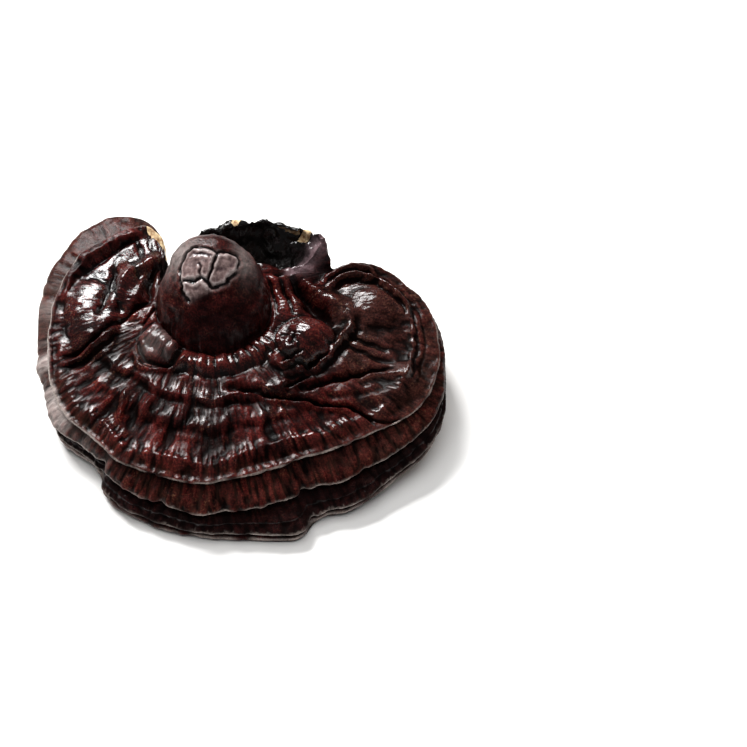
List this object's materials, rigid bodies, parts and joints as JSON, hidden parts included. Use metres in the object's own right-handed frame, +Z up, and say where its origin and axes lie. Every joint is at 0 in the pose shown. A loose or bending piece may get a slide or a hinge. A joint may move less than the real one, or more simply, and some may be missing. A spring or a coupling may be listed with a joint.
{
  "type": "reishi mushroom",
  "caption": "Dried reishi mushroom: a kidney-shaped woody cap with growth rings, a terraced margin, a rounded boss and a short cut stem stub.",
  "frame": {"origin": "bottom centre of the bounding box, on the plane of the flat sole that it rests on", "axes": "+Z up out of the cap, +X along the cap's long width, +Y towards the stem stub at the back"},
  "size_m": [0.131, 0.1094, 0.0445],
  "materials": {
    "lacquered_skin": "glossy"
  },
  "bodies": {
    "root": {"reishi_mushroom": "lacquered_skin"}
  },
  "joints": []
}
